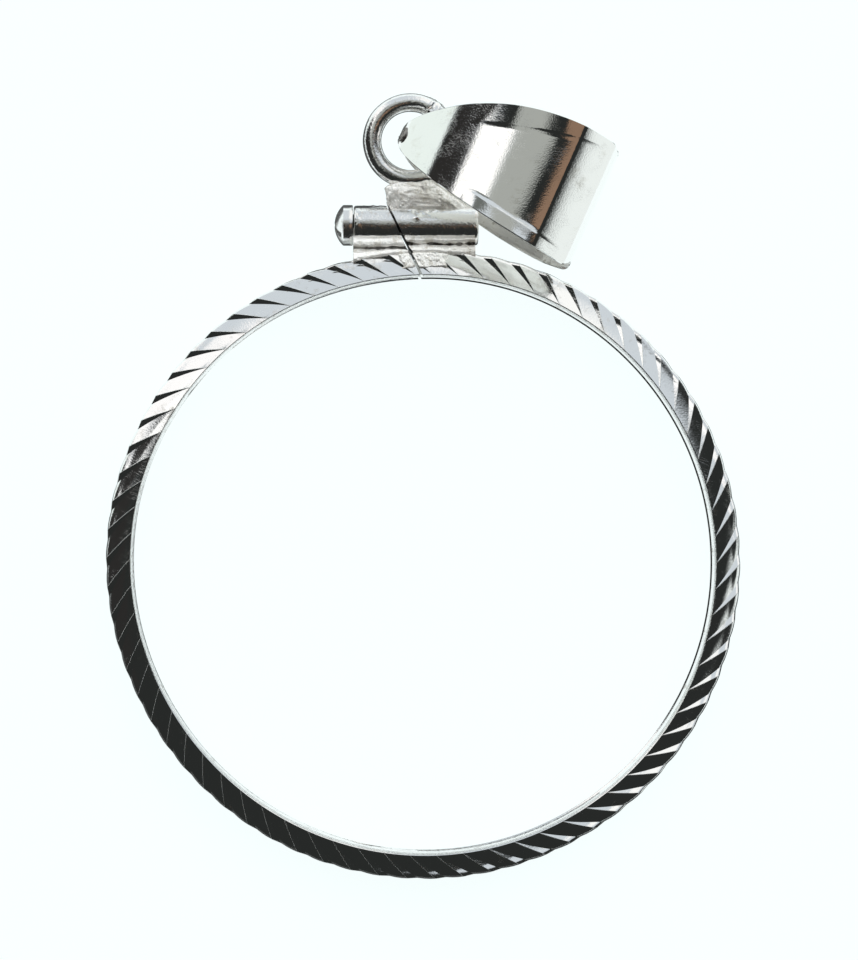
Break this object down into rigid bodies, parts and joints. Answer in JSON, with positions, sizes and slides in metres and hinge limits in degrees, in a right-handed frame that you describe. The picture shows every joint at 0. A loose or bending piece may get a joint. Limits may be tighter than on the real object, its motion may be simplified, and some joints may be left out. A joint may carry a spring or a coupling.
{
  "type": "coin bezel",
  "caption": "Round diamond-cut silver bezel that clamps a coin's edge, with a screw barrel over its saw cut, a soldered loop and a folded sheet bail.",
  "frame": {"origin": "centre of the coin that the rim holds, in the middle of its thickness", "axes": "+Z out of the front face, +Y up to the loop, +X along the clamp barrel, away from the screw's head"},
  "size_m": [0.0396, 0.0492, 0.0071],
  "materials": {
    "silver_frame": "sterling silver, diamond-cut facets polished bright, solder left rough at the clamp",
    "silver_screw": "sterling silver, turned and lightly worn",
    "silver_bail": "sterling silver sheet, polished, with fine wear scratches"
  },
  "bodies": {
    "frame": {"bezel_frame": "silver_frame"},
    "screw": {"clamp_screw": "silver_screw"},
    "hanger": {"bail": "silver_bail"}
  },
  "joints": [
    {"name": "bail_swing", "type": "hinge", "parent": "frame", "child": "hanger", "pos_m": [-0.00093, 0.02652, 0], "axis": [0, 0, 1], "range_deg": [0, 190]},
    {"name": "screw_out", "type": "slide", "parent": "frame", "child": "screw", "axis": [-1, 0, 0], "range_m": [0, 0.008]}
  ]
}
